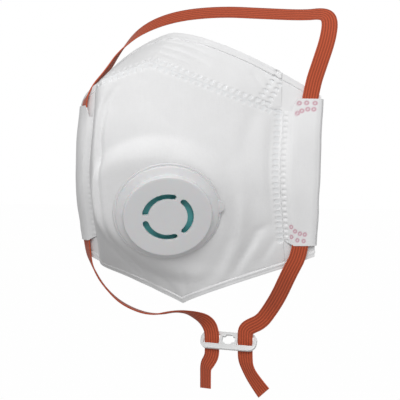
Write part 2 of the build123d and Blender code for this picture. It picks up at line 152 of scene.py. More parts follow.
# ------------------------------------------------------------------ relief of the cloth
# A crease is a line of (x, z) points, its half width and its depth; a negative depth stands proud.
FRONT_CREASES = [
    ([(30, 4), (33, -9), (31.5, -19), (28.7, -30), (22, -42), (13, -54)], 2.6, 1.1),
    ([(36, 2), (36.7, -12), (34.7, -23), (31, -34), (25, -45), (19, -54)], 2.2, -0.7),
    ([(44, -24), (39.5, -27), (36.2, -33.8), (30.7, -42.2), (24, -52.5)], 1.8, 1.2),
    ([(45, -28), (41, -32), (37, -39), (31, -48)], 1.9, -0.55),
    ([(47.2, -30.5), (43.7, -36), (40.2, -42.4)], 1.5, 0.7),
    ([(40.4, 30.5), (38.2, 25.9), (37.2, 19), (36.4, 8)], 2.8, 0.75),
    ([(44.5, 30), (43.6, 22), (43.0, 8)], 2.2, -0.45),
    ([(46.6, 29), (46.3, 12), (46.2, -2), (46.4, -17), (46.4, -31)], 1.25, 0.85),
    ([(5.2, -44), (4, -50), (1.7, -61)], 1.6, 0.6),
    ([(-7, 47.5), (-5, 44.6), (-3, 42)], 0.9, 0.35),
    ([(-5, 47.2), (-2.4, 44.2), (-1, 42)], 0.8, 0.35),
    ([(-8.6, 45.6), (-7.4, 43.2), (-6.3, 41)], 0.8, 0.3),
    ([(1.7, 33), (5.7, 26), (9.7, 23)], 1.4, 0.22),
    ([(12, 40), (16, 30), (24, 22)], 2.2, -0.25),
    ([(-13, 40.5), (-17, 33), (-19.5, 20), (-21, 5), (-24, -14), (-25, -30), (-18, -50)], 1.1, 1.5),
    ([(-17, 38), (-21.8, 26), (-23.8, 8), (-27, -12), (-28, -30), (-22, -48)], 1.8, -0.9),
    ([(-24, -30), (-28, -38), (-24.8, -46), (-17.8, -55)], 1.8, 0.6),
    ([(-30, 20), (-33, 8), (-35, -4), (-34, -18)], 1.5, -0.5),
    ([(-38, 22), (-41, 8), (-43, -6), (-41, -22), (-36, -36)], 1.0, 0.5),
    ([(-46.6, 29), (-46.3, 12), (-46.2, -2), (-46.4, -17), (-46.4, -31)], 1.25, 0.85),
    ([(-12, -46), (-6, -50), (0, -58)], 1.6, -0.35),
    ([(12, -44), (10, -50), (6, -59)], 1.8, -0.35),
]
NOSE_CREASES = [
    ([(-6, 64.4), (1.2, 63.6), (7.2, 62.6), (15.2, 59.4), (22, 56)], 0.75, 0.8),
    ([(-6, 61.6), (1.2, 60.3), (7.7, 58.6), (14.7, 55.3), (20, 52)], 0.8, 0.85),
    ([(-5.5, 58.6), (1.2, 57.0), (6.2, 55.2), (13.7, 52.0)], 0.8, 0.75),
    ([(36.5, 50), (39.5, 46), (42.5, 41.6)], 1.1, 0.7),
    ([(41.2, 51.5), (44.0, 46), (45.6, 42)], 0.9, 0.55),
    ([(28, 54), (33, 50), (37.5, 45.5)], 1.2, 0.4),
    ([(-20, 58), (-14, 56), (-8, 55)], 1.2, 0.35),
]
WELD_PITCH = 2.7
SIDE_WELD = [(48.5, -32.0), (48.5, 31.0)]
SEAM_OFFSET = 1.75
CORNER_WELD = [(42.6, 35.4), (49.6, 49.2)]
DOT_LONG = 1.05
DOT_WIDE = 0.68
OUTER_WELD_X = 52.1
WELD_REACH = 33.0
CORNER_OFFSET = 1.7
CORNER_PITCH = 2.4
DOT_DEPTH = 1.1
NOSE_DOT_DEPTH = 1.35
TAB_DOT_DEPTH = 0.5
HEM_WIDTH = 2.6
RIM_HEM_WIDTH = 3.4
SIDE_RIM_HEM_WIDTH = 3.2
NOSE_SLACK = 1.3
CALM_WIDTH = 6.0

# ------------------------------------------------------------------ straps, in millimetres
# Each stop is x, y, z, the way the flat side looks and how far it leans up, in degrees.
UPPER_ROUTE = [
    (61.3, -2, 27, 30, 0), (62.9, 0.8, 42.5, 31, 0), (66.8, 3.2, 55.5, 30, 0), (69.8, 6.5, 67, 26, 0),
    (70.2, 10, 76.8, 24, 10), (66.2, 12, 80.6, 22, 30), (56, 13.8, 80.6, 20, 36),
    (35, 16, 83.3, 12, 36), (9, 18.5, 86.8, 2, 36), (-17, 18.5, 86.2, -18, 30),
    (-35.5, 15.5, 79.8, -42, 15), (-46.2, 11, 68, -60, 0), (-51.4, 3.2, 54.5, -66, 0),
    (-57.8, -4.6, 44, -58, 0), (-60, -5.1, 36.5, -42, 0), (-59.8, -6.3, 27, -36, 0),
]
LOWER_LEFT_ROUTE = [
    (-58.8, -5.8, -24, -36, 0), (-57.5, -5.6, -41, -42, 0), (-56.2, -1, -51, -56, -6),
    (-52, 4.4, -61.5, -58, -26), (-42, 6.6, -70.5, -68, -52), (-26, 8.4, -75.4, -60, -76),
    (-11, 9.4, -71.6, -30, -80), (0.3, 9.8, -74.2, 10, -45), (5.8, 9.95, -77.5, 5, -8),
    (7.65, 10, -82, 0, 0), (7.65, 10, -88.4, 0, 0), (7.65, 10, -93.7, 0, 0), (6.2, 10.2, -96.8, -14, 0),
    (4, 10.4, -100, -24, 0), (3.8, 10.6, -104, -26, 0), (4.2, 9.6, -111.5, -26, 0),
]
LOWER_RIGHT_ROUTE = [
    (59.4, -3.2, -24, 28, 0), (58, -1.2, -37.5, 26, 0), (52.2, -0.8, -48, 24, 0),
    (45.2, 4.6, -60.5, 22, 12), (39, 9, -69, 14, 20), (34.5, 9.5, -74.8, 8, 12), (27.8, 10, -78, 2, 4),
    (25.9, 10, -80, 0, 0), (25.85, 10, -83, 0, 0), (25.85, 10, -88.4, 0, 0), (25.85, 10, -94.2, 0, 0),
    (26.8, 10.1, -98.5, -20, 0), (30, 10.4, -104.5, -22, 0), (36, 9.6, -111, -6, 0),
]

# ------------------------------------------------------------------ valve and adjuster, in millimetres
VALVE_ACROSS = Vector((math.cos(FRONT_TURN), math.sin(FRONT_TURN), 0.0))
VALVE_FRAME = Matrix.Translation(VALVE) @ Matrix(
    (VALVE_ACROSS, AXIS.cross(VALVE_ACROSS), AXIS)
).transposed().to_4x4()
# Wall of the housing, turned about the valve's axis: (radius, height)
HOUSING_PROFILE = [
    (0.0, 5.9), (8.6, 5.9), (12.8, 5.9), (19.6, 5.9), (20.25, 5.88), (20.5, 5.8), (20.65, 5.62),
    (20.7, 5.4), (20.7, 3.5), (20.8, 3.3), (22.5, 2.72), (23.9, 2.2), (24.18, 2.06), (24.3, 1.85),
    (24.3, 1.26), (23.2, 1.26), (23.1, 1.5), (19.6, 2.9), (19.6, 4.8), (12.8, 4.8), (8.6, 4.8), (0.0, 4.8),
]
SLOT_COUNT = 3
SLOT_RADIUS = 10.65
SLOT_WIDTH = 2.9
BRIDGE_ANGLE = 63.0
BRIDGE_HALF = 6.5
# Ribs under the bridges: half length and half width, then the heights of both faces
RIB_HALF = (2.05, 1.2)
RIB_HEIGHTS = (3.9, 4.95)
# Round lug at the flange, cut back to the wall by a bore about the valve's axis
LUG_ANGLE = 8.0
LUG_MIDDLE = 23.7
LUG_RADIUS = 3.2
LUG_HEIGHTS = (1.26, 1.95)
LUG_BORE = 23.3
ADJUSTER_PLACE = Matrix.Translation((16.75, 10.0, -86.0)) @ Matrix.Rotation(math.radians(55.0), 4, "X")
# Length, height and corner radius
ADJUSTER_SIZES = (30.5, 9.4, 4.0)
ADJUSTER_HALF_THICK = 0.8
ADJUSTER_SLOT_X = 9.1
ADJUSTER_SLOT = [(-4.3, -2.0), (4.3, -2.0), (4.3, 3.2), (-4.3, 3.2)]
ADJUSTER_WINDOW = [
    (-3.5, -0.9), (-2.2, -0.9), (-1.6, -1.9), (1.6, -1.9), (2.2, -0.9), (3.5, -0.9), (3.5, 2.2),
    (2.2, 2.2), (1.6, 3.2), (-1.6, 3.2), (-2.2, 2.2), (-3.5, 2.2),
]

# ------------------------------------------------------------------ stage, in metres
# Only the sensor is in millimetres; a lamp has its place and its size.
SENSOR_WIDTH = 36.0
CAMERA_SHIFT = (0.022, -0.0625)
FLOOR_SIZE = 12.0
FLOOR_Z = -0.26
FLOOR_SHOWN = 0.99
LAMP_AIM = Vector((0.0, -0.02, 0.0))
KEY_LAMP = ((0.20, -0.56, 0.33), 0.36)
FILL_LAMP = ((0.9, -0.9, 0.1), 0.6)


# ------------------------------------------------------------------ form of the mask
def smooth_max(values, sharpness):
    """Largest value, with soft corners where two come near each other."""
    top = max(values)
    return top + math.log(sum(math.exp(sharpness * (value - top)) for value in values)) / sharpness


def soft_step(value):
    value = min(1.0, max(0.0, value))
    return value * value * (3 - 2 * value)


def rim_z(x):
    return NOSE_Z - RIM_DROP * (abs(x) / HALF_WIDTH) ** RIM_CURVE


def rim_y(x):
    return NOSE_Y + (WELD_DEPTH + WELD_CURL - NOSE_Y) * (abs(x) / WELD_X) ** RIM_SET_CURVE


def hem_z(x):
    return CHIN_Z + HEM_RISE * (abs(x) / HALF_WIDTH) ** HEM_CURVE


def seam_z(x):
    return APEX_Z - SEAM_FALL * abs(x)


def above_seam(x):
    return seam_z(x) + JOIN_GAP


def weld_y(z):
    return WELD_DEPTH + WELD_CURL * (1 - math.exp(-((z / WELD_CURL_SPAN) ** 2)))


def edge_y(z):
    return CORNER_SET * (z / CORNER_Z) ** 2


def valve_plane_y(x, z):
    lean = AXIS.x * (x - VALVE.x) + AXIS.z * (z - VALVE.z)
    return VALVE.y - lean / AXIS.y


def valve_reach(x, z):
    across = (x - VALVE.x) / math.cos(FRONT_TURN)
    return math.hypot(across, (z - VALVE.z) / math.cos(VALVE_DROP))


def front_y(x, z):
    """Outside of the front panel: soft facets, flat under the valve, where the chin's facet fades."""
    away = soft_step((valve_reach(x, z) - FLAT_RADIUS) / BLEND_WIDTH)
    sharpness = ROUNDING * (1 + VALVE_SHARPNESS * (1 - away) ** 2)
    facets = [
        weld_y(z) - LEFT_SLOPE * (x + WELD_X),
        weld_y(z) + RIGHT_SLOPE * (x - WELD_X),
        APEX_Y + math.tan(FRONT_TURN) * x + UPPER_LEAN * (z - APEX_Z),
        valve_plane_y(x, z),
    ]
    upper = smooth_max(facets, sharpness)
    turned = CHIN_TURN * soft_step(-x / 14) * soft_step((z + 58) / 42)
    chin = CHIN_Y - (CHIN_SIDE_SLOPE - turned) * x - CHIN_RISE_SLOPE * (z - CHIN_Z)
    return upper + away * (smooth_max(facets + [chin], sharpness) - upper)


def top_y(x, z):
    """Outside of the nose panel: straight from the top seam to the rim."""
    low, high = seam_z(x), rim_z(x)
    share = (z - low) / (high - low)
    return front_y(x, low) + share * (rim_y(x) - front_y(x, low))


def panel_y(x, z):
    return front_y(x, z) if z <= seam_z(x) else top_y(x, z)


def side_share(x):
    """How far out on a side a place is, from 0 at the weld to 1 at the outer edge."""
    return min(1.0, max(0.0, (abs(x) - WELD_X) / (HALF_WIDTH - WELD_X)))


def side_y(x, z):
    """Outside of a side panel, from the weld to the outer edge; the left one swells outwards."""
    inner = math.copysign(WELD_X, x)
    start = panel_y(inner, min(rim_z(inner), max(hem_z(inner), z)))
    share = side_share(x) ** LEFT_SWELL if x < 0 else side_share(x)
    return start + share * (edge_y(z) - start)


def drawn_in(x, z):
    """The x of a place on a side, where the soft outer edge is drawn in by the straps."""
    side = 1 if x > 0 else -1
    stops = EDGE_IN[side]
    amount = stops[0][1] if z < stops[0][0] else stops[-1][1]
    for (low, first), (high, second) in zip(stops, stops[1:]):
        if low <= z <= high:
            amount = first + (second - first) * soft_step((z - low) / (high - low))
    return x - side * amount * side_share(x)


# ------------------------------------------------------------------ relief
def line_distance(x, z, points):
    """Distance to a line of points, and how far along it the nearest place is, from 0 to 1."""
    best = (1e9, 0.0)
    runs = len(points) - 1
    for index in range(runs):
        (ax, az), (bx, bz) = points[index], points[index + 1]
        dx, dz = bx - ax, bz - az
        share = ((x - ax) * dx + (z - az) * dz) / (dx * dx + dz * dz)
        share = min(1.0, max(0.0, share))
        gap = math.hypot(x - ax - share * dx, z - az - share * dz)
        if gap < best[0]:
            best = (gap, (index + share) / runs)
    return best


def crease_depth(x, z, creases):
    depth = 0.0
    for points, width, deep in creases:
        reach = 3 * width
        spans = [sorted(part) for part in zip(*points)]
        if all(span[0] - reach < value < span[-1] + reach for span, value in zip(spans, (x, z))):
            gap, along = line_distance(x, z, points)
            fade = math.sin(math.pi * min(0.97, max(0.03, along))) ** 0.6
            depth += deep * fade * math.exp(-((gap / width) ** 2))
    return depth


def dots_on(points, pitch):
    """Evenly spaced dots along a straight weld, each with the weld's direction."""
    start, end = Vector(points[0]), Vector(points[-1])
    way = end - start
    count = round(way.length / pitch)
    return [(start + way * (i / count), way.normalized()) for i in range(count + 1)]


def dot_table():
    """Weld dots of both sides, in squares of four millimetres for a quick search."""
    dots = []
    for side in (-1, 1):
        dots += dots_on([(side * x, z) for x, z in SIDE_WELD], WELD_PITCH)
        dots += dots_on([(side * OUTER_WELD_X, z) for _, z in SIDE_WELD], WELD_PITCH)
        for offset in (-SEAM_OFFSET, SEAM_OFFSET):
            dots += dots_on([(side * x, seam_z(x) + offset) for x in (1.4, 45.0)], WELD_PITCH)
        for offset in (-CORNER_OFFSET, CORNER_OFFSET):
            corner = [(side * (x + offset), z - offset * 0.5) for x, z in CORNER_WELD]
            dots += dots_on(corner, CORNER_PITCH)
    table = {}
    for place, way in dots:
        table.setdefault((round(place.x / 4), round(place.y / 4)), []).append((place, way))
    return table


DOTS = dot_table()


def dot_press(x, z):
    """How far a weld dot presses the cloth here, from 0 to 1; the same amount darkens the cloth's colour as
    painted shade.
    """
    press = 0.0
    column, row = round(x / 4), round(z / 4)
    for i in (-1, 0, 1):
        for j in (-1, 0, 1):
            for place, way in DOTS.get((column + i, row + j), ()):
                off = Vector((x - place.x, z - place.y))
                along = off.dot(way) / DOT_WIDE
                across = (off.x * way.y - off.y * way.x) / DOT_LONG
                press = max(press, math.exp(-((along * along + across * across) ** 2)))
    return press


def hem_band(distance, width):
    """The folded edge: proud of the panel, with a pressed line along its middle."""
    if distance > width + 1.0:
        return 0.0
    proud = -0.5 * (1 - soft_step((distance - width) / 0.5))
    line = 0.22 * math.exp(-(((distance - 0.5 * width) / 0.3) ** 2))
    edge = 0.25 * math.exp(-(((distance - width - 0.35) / 0.35) ** 2))
    return proud + line + edge


def weld_ground(x, z):
    """The strip pressed thin along the side welds and the seams."""
    strip = 0.35 * math.exp(-(((abs(x) - WELD_X) / 2.4) ** 4)) if abs(z) < WELD_REACH else 0.0
    return strip + 0.9 * math.exp(-(((z - seam_z(x)) / 0.7) ** 2))


def slack(x, z):
    """The gentle unevenness of soft cloth."""
    wide = noise.noise(Vector((x / 15.0, 3.1, z / 15.0)))
    small = noise.noise(Vector((x / 5.5, 8.7, z / 6.5)))
    drape = noise.noise(Vector(((x + 0.25 * z) / 7.0, 15.3, z / 30.0)))
    return 0.5 * wide + 0.13 * small + 0.28 * drape


def front_drape(x, z):
    """Folds and slack of the front panel, calm round the valve."""
    calm = soft_step((valve_reach(x, z) - FLAT_RADIUS) / CALM_WIDTH)
    return crease_depth(x, z, FRONT_CREASES) + slack(x, z) * calm


def nose_drape(x, z):
    return crease_depth(x, z, NOSE_CREASES) + NOSE_SLACK * slack(x, z)


# A relief gives how far a place goes in and how deep the weld dots press there; that press also darkens the
# cloth's colour as painted shade.
def front_relief(x, z):
    press = dot_press(x, z)
    hem = hem_band(z - hem_z(x), HEM_WIDTH)
    return front_drape(x, z) + weld_ground(x, z) + hem + DOT_DEPTH * press, press


def nose_relief(x, z):
    press = dot_press(x, z)
    hem = hem_band(rim_z(x) - z, RIM_HEM_WIDTH) * TOP_FACTOR
    return nose_drape(x, z) + weld_ground(x, z) + hem + NOSE_DOT_DEPTH * press, press


def inner_front_relief(x, z):
    return front_drape(x, z), 0.0


def inner_nose_relief(x, z):
    return nose_drape(x, z), 0.0


def side_relief(x, z):
    hems = hem_band(z - hem_z(x), HEM_WIDTH) + hem_band(rim_z(x) - z, SIDE_RIM_HEM_WIDTH)
    return min(0.4, hems) + 0.5 * slack(x, z), 0.0


# ------------------------------------------------------------------ helpers
def spread(start, end, count):
    return [start + (end - start) * i / count for i in range(count + 1)]


def graded(parts):
    """Stations from several runs, each (start, end, count), with no place twice."""
    stations = []
    for start, end, count in parts:
        stations += spread(start, end, count)[:-1]
    return stations + [parts[-1][1]]


def clear_selection():
    for thing in bpy.context.view_layer.objects:
        thing.select_set(False)
    bpy.context.view_layer.objects.active = None


def take(piece):
    clear_selection()
    piece.select_set(True)
    bpy.context.view_layer.objects.active = piece


def apply_all(piece):
    take(piece)
    for modifier in list(piece.modifiers):
        bpy.ops.object.modifier_apply(modifier=modifier.name)


def smooth(piece, angle):
    take(piece)
    bpy.ops.object.shade_smooth_by_angle(angle=math.radians(angle))


def solidify(piece, thickness):
    modifier = piece.modifiers.new("Thickness", "SOLIDIFY")
    modifier.thickness = thickness * MM
    modifier.offset = -1.0
    modifier.use_even_offset = False
    apply_all(piece)


def cloth(name, columns, rows, place):
    """A sheet from a grid, each point set by place(column, row), which also gives its mark: the weld dots'
    press, shown as painted shade, or the tack rings.
    """
    wide, tall = len(columns) - 1, len(rows) - 1
    clear_selection()
    bpy.ops.mesh.primitive_grid_add(x_subdivisions=wide, y_subdivisions=tall, size=1.0)
    piece = bpy.context.object
    piece.name = name
    piece.data.name = name
    mark = piece.data.attributes.new("press", "FLOAT", "POINT")
    for vertex in piece.data.vertices:
        column = columns[round((vertex.co.x + 0.5) * wide)]
        row = rows[round((vertex.co.y + 0.5) * tall)]
        (x, y, z), press = place(column, row)
        vertex.co = (x * MM, y * MM, z * MM)
        mark.data[vertex.index].value = press
    piece.data.update()
    return piece


def finish_piece(piece, material, body, node):
    piece.data.materials.clear()
    piece.data.materials.append(material)
    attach(piece, body)
    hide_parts(node)


def clothe(piece, thickness, material, node):
    """Gives a sheet its thickness, its shading and its material, as a piece of the mask."""
    solidify(piece, thickness)
    smooth(piece, 60.0)
    finish_piece(piece, material, "mask", node)


def panel(name, columns, rows, low, high, surface, relief, behind=0.0):
    """One ply of a panel, from its lower edge to its upper edge."""
    def place(x, share):
        z = low(x) + (high(x) - low(x)) * share
        depth, press = relief(x, z)
        return (drawn_in(x, z), surface(x, z) + behind + depth, z), press
    return cloth(name, columns, rows, place)


def cut_round_hole(piece):
    """Opens the cloth for the neck of the valve."""
    take(piece)
    bpy.ops.object.mode_set(mode="EDIT")
    bpy.ops.mesh.select_all(action="DESELECT")
    bpy.ops.object.mode_set(mode="OBJECT")
    for face in piece.data.polygons:
        x, _, z = face.center / MM
        face.select = valve_reach(x, z) < FABRIC_HOLE
    bpy.ops.object.mode_set(mode="EDIT")
    bpy.ops.mesh.delete(type="FACE")
    bpy.ops.object.mode_set(mode="OBJECT")


def piece_from(name, build):
    """A piece from a bmesh, its faces turned outwards."""
    bmesh.ops.recalc_face_normals(build, faces=build.faces)
    mesh = bpy.data.meshes.new(name)
    build.to_mesh(mesh)
    build.free()
    piece = bpy.data.objects.new(name, mesh)
    bpy.context.scene.collection.objects.link(piece)
    return piece


# ------------------------------------------------------------------ shader nodes
def set_inputs(tree, node, values):
    """Gives inputs, by name or number, a plain value or another node's output."""
    for label, value in values.items():
        if isinstance(value, bpy.types.NodeSocket):
            tree.links.new(value, node.inputs[label])
        else:
            node.inputs[label].default_value = value


def add_node(tree, kind, values):
    node = tree.nodes.new("ShaderNode" + kind)
    set_inputs(tree, node, values)
    return node


def math_node(tree, operation, *values):
    node = add_node(tree, "Math", dict(enumerate(values)))
    node.operation = operation
    return node.outputs[0]


def ramp_between(tree, value, low, high):
    node = add_node(tree, "MapRange", {"Value": value, "From Min": low, "From Max": high})
    return node.outputs[0]


def rgba(colour):
    """A colour as a node takes it; another node's output stays as it is."""
    return colour if isinstance(colour, bpy.types.NodeSocket) else (*colour[:3], 1.0)


def darker(colour, share):
    return tuple(part * share for part in colour[:3])


def mix_colours(tree, share, low, high):
    node = tree.nodes.new("ShaderNodeMix")
    node.data_type = "RGBA"
    share_input, low_input, high_input, colour_output = 0, 6, 7, 2
    set_inputs(tree, node, {share_input: share, low_input: rgba(low), high_input: rgba(high)})
    return node.outputs[colour_output]


def add_bump(tree, shader, height, strength, distance):
    bump = add_node(tree, "Bump", {"Height": height, "Strength": strength, "Distance": distance})
    set_inputs(tree, shader, {"Normal": bump.outputs[0]})


def seen_directly(tree, most):
    """The given share where the camera, a reflection or clear plastic looks, and 0 elsewhere."""
    path = tree.nodes.new("ShaderNodeLightPath")
    seen = math_node(tree, "ADD", path.outputs["Is Camera Ray"], path.outputs["Is Glossy Ray"])
    seen = math_node(tree, "ADD", seen, path.outputs["Is Transmission Ray"])
    return math_node(tree, "MINIMUM", seen, most)


# ------------------------------------------------------------------ shader groups
def new_group(name, inputs, outputs):
    group = bpy.data.node_groups.new(name, "ShaderNodeTree")
    for label, kind, value in inputs:
        socket = group.interface.new_socket(name=label, in_out="INPUT", socket_type=kind)
        if value is not None:
            socket.default_value = value
    for label, kind in outputs:
        group.interface.new_socket(name=label, in_out="OUTPUT", socket_type=kind)
    return group, group.nodes.new("NodeGroupInput"), group.nodes.new("NodeGroupOutput")


def build_nonwoven():
    """Spun fibres: fine crossing strands, soft clouds of thicker web and tiny bond points."""
    group, given, made = new_group(
        "Nonwoven",
        [("Coordinates", "NodeSocketVector", None), ("Strand Scale", "NodeSocketFloat", 900.0),
         ("Cloud Scale", "NodeSocketFloat", 60.0)],
        [("Cloud", "NodeSocketFloat"), ("Fibre", "NodeSocketFloat")],
    )
    place = given.outputs["Coordinates"]
    strands = []
    for turn, stretch in ((0.5, (1.0, 1.0, 0.16)), (-0.6, (0.16, 1.0, 1.0))):
        way = add_node(group, "Mapping", {"Vector": place, "Rotation": (0.2, turn, 0.1), "Scale": stretch})
        strand = add_node(group, "TexNoise", {
            "Vector": way.outputs[0], "Scale": given.outputs["Strand Scale"], "Detail": 3.0, "Roughness": 0.6,
        })
        strands.append(strand.outputs[0])
    cloud = add_node(group, "TexNoise", {
        "Vector": place, "Scale": given.outputs["Cloud Scale"], "Detail": 4.0,
    })
    bond = add_node(group, "TexVoronoi", {"Vector": place, "Scale": 1100.0, "Randomness": 0.35})
    point = ramp_between(group, bond.outputs["Distance"], 0.1, 0.4)
    fibre = math_node(group, "ADD", *strands)
    fibre = math_node(group, "ADD", fibre, math_node(group, "MULTIPLY", point, 0.35))
    fibre = math_node(group, "MULTIPLY", fibre, 0.5)
    set_inputs(group, made, {"Fibre": fibre, "Cloud": cloud.outputs[0]})
    return group


def build_grain():
    """The faint grain and flow of a moulded surface."""
    group, given, made = new_group(
        "Moulded Grain",
        [("Coordinates", "NodeSocketVector", None), ("Grain Scale", "NodeSocketFloat", 2500.0)],
        [("Grain", "NodeSocketFloat"), ("Flow", "NodeSocketFloat")],
    )
    for label, scale, detail in (("Grain", given.outputs["Grain Scale"], 2.0), ("Flow", 45.0, 3.0)):
        pattern = add_node(group, "TexNoise", {
            "Vector": given.outputs["Coordinates"], "Scale": scale, "Detail": detail,
        })
        set_inputs(group, made, {label: pattern.outputs[0]})
    return group


def group_named(name):
    """A shader group, built the first time that it is asked for."""
    if name in bpy.data.node_groups:
        return bpy.data.node_groups[name]
    return {"Nonwoven": build_nonwoven, "Moulded Grain": build_grain}[name]()


# ------------------------------------------------------------------ materials
def start_material(name, roughness, specular=0.5):
    material = bpy.data.materials.new(name)
    material.use_nodes = True
    tree = material.node_tree
    shader = tree.nodes["Principled BSDF"]
    set_inputs(tree, shader, {"Roughness": roughness, "Specular IOR Level": specular})
    return material, tree, shader


def add_group(tree, name):
    node = tree.nodes.new("ShaderNodeGroup")
    node.node_tree = group_named(name)
    place = tree.nodes.new("ShaderNodeTexCoord")
    set_inputs(tree, node, {"Coordinates": place.outputs["Object"]})
    return node


def fabric_material(name, colour, stain=None):
    """Nonwoven cloth, pressed a little glassier in the weld dots and darkened there with painted shade; a
    stain colour takes the place of that shade.
    """
    material, tree, shader = start_material(name, 0.85, 0.25)
    web = add_group(tree, "Nonwoven")
    mottled = mix_colours(tree, ramp_between(tree, web.outputs["Cloud"], 0.3, 0.7),
                          darker(colour, 0.96), colour)
    fibres = mix_colours(tree, ramp_between(tree, web.outputs["Fibre"], 0.35, 0.75),
                         darker(colour, 0.95), mottled)
    mark = tree.nodes.new("ShaderNodeAttribute")
    mark.attribute_name = "press"
    press = mark.outputs["Fac"]
    # Base colour darker in the weld dots, painted shade in their hollows; on the tabs the tack rings take the
    # stain colour instead.
    set_inputs(tree, shader, {
        "Base Color": mix_colours(tree, press, fibres, stain if stain else darker(colour, 0.93)),
        "Roughness": math_node(tree, "ADD", math_node(tree, "MULTIPLY", press, -0.3), 0.85),
        "Sheen Weight": 0.12,
        "Sheen Roughness": 0.5,
    })
    add_bump(tree, shader, web.outputs["Fibre"], 0.35, 0.0002)
    return material


def plastic_material(name, colour, roughness, subsurface=0.0):
    material, tree, shader = start_material(name, roughness)
    grain = add_group(tree, "Moulded Grain")
    flow = ramp_between(tree, grain.outputs["Flow"], 0.3, 0.7)
    wear = math_node(tree, "MULTIPLY", grain.outputs["Flow"], 0.16)
    set_inputs(tree, shader, {
        "Base Color": mix_colours(tree, flow, darker(colour, 0.96), colour),
        "Roughness": math_node(tree, "ADD", wear, roughness - 0.08),
        "Subsurface Weight": subsurface,
        "Subsurface Scale": 0.001,
    })
    add_bump(tree, shader, grain.outputs["Grain"], 0.08, 0.0001)
    return material


def foam_material(name, colour):
    material, tree, shader = start_material(name, 0.9, 0.2)
    place = tree.nodes.new("ShaderNodeTexCoord")
    cells = add_node(tree, "TexVoronoi", {"Vector": place.outputs["Object"], "Scale": 1400.0})
    wall = ramp_between(tree, cells.outputs["Distance"], 0.1, 0.6)
    # Darker in the middles of the cells, the pores' hollows: painted shade.
    set_inputs(tree, shader, {"Base Color": mix_colours(tree, wall, darker(colour, 0.72), colour)})
    add_bump(tree, shader, wall, 0.6, 0.0003)
    return material


def elastic_material(name, colour, ribs):
    """Ribbed elastic: cords along the band, with the knit crossing them; painted shade darkens the grooves
    between the cords and the hollows of the knit.
    """
    material, tree, shader = start_material(name, 0.75, 0.25)
    band = tree.nodes.new("ShaderNodeUVMap")
    band.uv_map = "band"
    split = add_node(tree, "SeparateXYZ", {0: band.outputs[0]})
    across, along = split.outputs[0], split.outputs[1]

    def wave(kind, place, turns):
        return math_node(tree, kind, math_node(tree, "MULTIPLY", place, 2 * math.pi * turns))

    rib = ramp_between(tree, wave("COSINE", across, ribs), -0.6, 0.9)
    slant = math_node(tree, "ADD", along, math_node(tree, "MULTIPLY", across, 5.0))
    knit = math_node(tree, "ADD", wave("SINE", along, 1.6), wave("SINE", slant, 1.1))
    # Painted shade: darker in the grooves between the cords and in the knit's hollows.
    groove_shade = mix_colours(tree, rib, darker(colour, 0.5), colour)
    stitch = ramp_between(tree, knit, -1.6, 1.6)
    knit_shade = mix_colours(tree, stitch, darker(colour, 0.82), groove_shade)
    set_inputs(tree, shader, {"Base Color": mix_colours(tree, 0.65, knit_shade, groove_shade), "Sheen Weight": 0.15})
    height = math_node(tree, "ADD", rib, math_node(tree, "MULTIPLY", knit, 0.12))
    add_bump(tree, shader, height, 0.5, 0.0002)
    return material


# ------------------------------------------------------------------ settings
def colour_setting(label, text, value):
    return bpy.props.FloatVectorProperty(
        name=label, description=text, subtype="COLOR", size=3, min=0.0, max=1.0, default=value
    )


def length_setting(label, text, value):
    return bpy.props.FloatProperty(
        name=label, description=text, default=value, unit="LENGTH", subtype="DISTANCE", precision=4
    )


class MaskClothSettings(bpy.types.PropertyGroup):
    """Sizes and colours of the cloth."""
    cover_colour: colour_setting("Cover", "Colour of the outer cloth", (0.86, 0.86, 0.865))
    filter_colour: colour_setting("Filter", "Colour of the filter web", (0.84, 0.85, 0.86))
    liner_colour: colour_setting("Liner", "Colour of the inner cloth", (0.86, 0.86, 0.86))
    stain_colour: colour_setting("Tack Rings", "Strap colour seen in the tack rings", (0.62, 0.33, 0.40))
    cover_thickness: length_setting("Cover Thickness", "Thickness of the outer cloth", 0.00045)
    filter_thickness: length_setting("Filter Thickness", "Thickness of the filter web", 0.0008)
    liner_thickness: length_setting("Liner Thickness", "Thickness of the inner cloth", 0.0004)
    tab_thickness: length_setting("Tab Thickness", "Thickness of a side tab", 0.0008)


class MaskClipSettings(bpy.types.PropertyGroup):
    """Sizes and colours of the nose clip."""
    wire_colour: colour_setting("Wire", "Colour of the coated nose wire", (0.72, 0.72, 0.73))
    foam_colour: colour_setting("Foam", "Colour of the nose foam", (0.62, 0.63, 0.65))


class MaskValveSettings(bpy.types.PropertyGroup):
    """Colours and finish of the valve and the adjuster."""
    plastic_colour: colour_setting("Housing", "Colour of the valve's plastic", (0.76, 0.76, 0.77))
    flap_colour: colour_setting("Flap", "Colour of the rubber flap", (0.12, 0.48, 0.49))
    adjuster_colour: colour_setting("Adjuster", "Colour of the strap adjuster", (0.84, 0.85, 0.85))
    roughness: bpy.props.FloatProperty(
        name="Roughness", description="Roughness of the moulded plastic", default=0.42, subtype="FACTOR"
    )


class MaskStrapSettings(bpy.types.PropertyGroup):
    """Sizes and colour of the elastic straps."""
    strap_colour: colour_setting("Elastic", "Colour of the elastic", (0.60, 0.105, 0.042))
    width: length_setting("Width", "Width of the elastic", 0.008)
    thickness: length_setting("Thickness", "Thickness of the elastic", 0.0008)
    ribs: bpy.props.IntProperty(name="Ribs", description="Cords along the elastic", default=6, min=1)


class MaskStageSettings(bpy.types.PropertyGroup):
    """Floor, lamps and camera."""
    floor_colour: colour_setting("Floor", "Colour of the floor", (0.55, 0.55, 0.55))
    key_power: bpy.props.FloatProperty(
        name="Key", description="Power of the key lamp", default=2.8, unit="POWER"
    )
    fill_power: bpy.props.FloatProperty(
        name="Fill", description="Power of the fill lamp", default=0.15, unit="POWER"
    )
    sky: bpy.props.FloatProperty(name="Sky", description="Strength of the even light", default=0.38)
    azimuth: bpy.props.FloatProperty(
        name="Azimuth", description="Turn of the camera", default=math.radians(22), subtype="ANGLE"
    )
    distance: length_setting("Distance", "Distance of the camera", 0.43)
    lens: bpy.props.FloatProperty(name="Lens", description="Focal length in mm", default=75.24)


